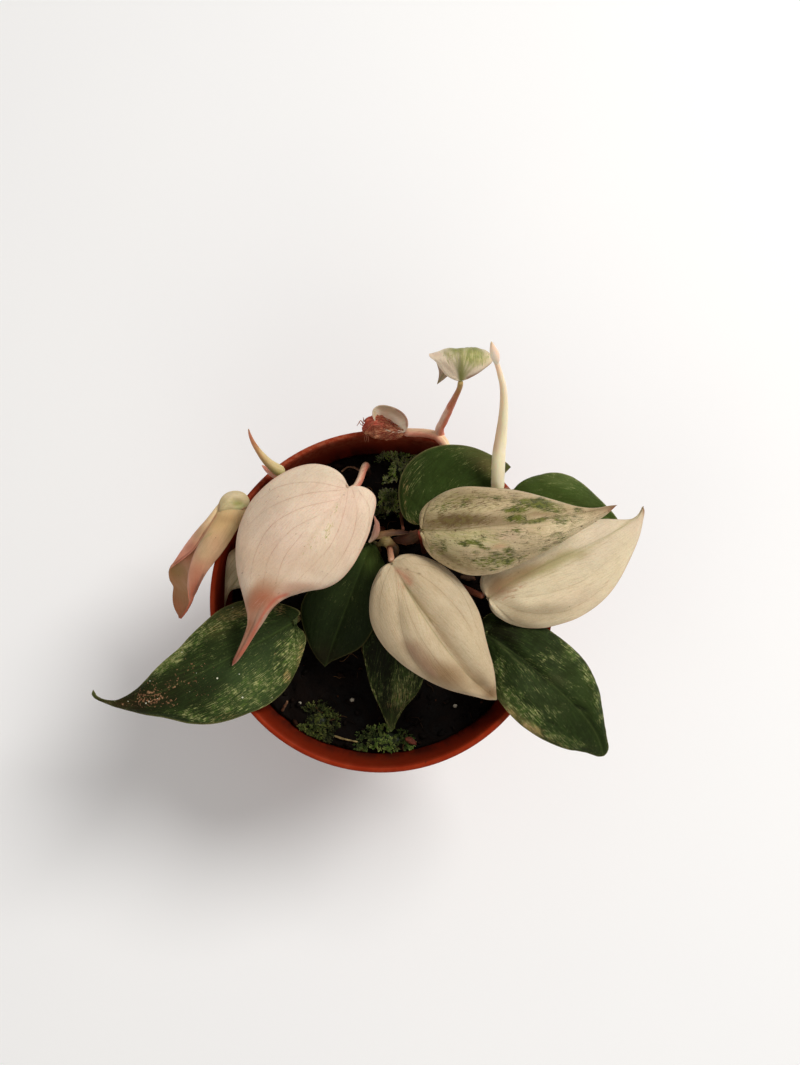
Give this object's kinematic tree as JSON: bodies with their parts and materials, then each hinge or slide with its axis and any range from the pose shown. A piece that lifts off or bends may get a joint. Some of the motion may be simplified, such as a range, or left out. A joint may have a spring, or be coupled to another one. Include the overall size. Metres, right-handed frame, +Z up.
{
  "type": "potted velvet leaf philodendron",
  "caption": "Potted vining aroid with pink, cream, marbled and green heart-shaped velvet leaves, in a round tapered plastic nursery pot filled with soil and moss",
  "frame": {"origin": "centre of the pot's underside, on the flat centre pad that is level with the foot ring", "axes": "+Z up along the pot's axis; +Y towards the back, where the two tall new growths lean out over the rim; +X to the right"},
  "size_m": [0.1612, 0.122, 0.1371],
  "materials": {
    "pot_plastic": "smooth glossy terracotta-coloured plastic",
    "soil": "moist potting mix, matt",
    "leaf_pink": "velvet leaf, pale pink to cream, satin",
    "leaf_green": "velvet leaf, dark green with pale streaks, satin",
    "leaf_cream": "velvet leaf, cream, satin",
    "leaf_marbled": "velvet leaf, cream marbled with green and brown, satin",
    "petiole": "smooth reddish pink stalk, satin",
    "vine": "smooth reddish brown vine, satin",
    "bark": "dark bark and twigs, matt",
    "sheath": "red fibrous torn sheath, matt",
    "papery": "dry papery tan-brown bract, matt",
    "new_growth": "rolled cream to pink new leaf, satin",
    "moss": "soft green moss, matt",
    "straw": "dry straw, matt",
    "perlite": "white perlite, matt"
  },
  "bodies": {
    "root": {"pot": "pot_plastic", "soil": "soil", "leaf_pink_large": "leaf_pink", "leaf_green_left": "leaf_green", "leaf_green_center": "leaf_green", "leaf_green_small": "leaf_green", "leaf_cream_center": "leaf_cream", "leaf_splash": "leaf_marbled", "leaf_cream_right": "leaf_cream", "leaf_green_right": "leaf_green", "leaf_green_back": "leaf_green", "leaf_green_back_right": "leaf_green", "leaf_pink_folded": "leaf_pink", "leaf_cream_small": "leaf_cream", "leaf_top_small": "leaf_marbled", "leaf_unfurling_top": "leaf_pink", "petiole_pink_large": "petiole", "petiole_cream_center": "petiole", "petiole_cream_right": "petiole", "petiole_splash": "petiole", "petiole_green_back": "petiole", "petiole_green_center": "petiole", "petiole_green_small": "petiole", "petiole_green_right": "petiole", "petiole_green_left": "petiole", "petiole_pink_folded": "petiole", "petiole_cream_small": "petiole", "petiole_green_back_right": "petiole", "petiole_top_small": "petiole", "stem_left": "vine", "stem_right": "vine", "stem_over_rim": "vine", "stem_center": "vine", "petiole_dry_stub": "bark", "sheath_red_fibrous": "sheath", "node_crown": "papery", "cataphyll_left": "papery", "cataphyll_right": "papery", "bract_center": "new_growth", "spike_tall": "new_growth", "spike_left": "new_growth", "bract_left": "new_growth", "bract_tall_tip": "new_growth", "moss_back": "moss", "moss_middle": "moss", "moss_front_left": "moss", "moss_front": "moss", "straw": "straw", "stick_wall": "bark", "bark_bit_front": "bark", "bark_bit_left": "bark", "bark_bit_right": "bark", "root_thread_back": "bark", "perlite_grain_left": "perlite", "perlite_grain_front": "perlite", "perlite_grain_front_left": "perlite", "perlite_grain_right": "perlite", "perlite_grain_middle": "perlite"}
  },
  "joints": []
}
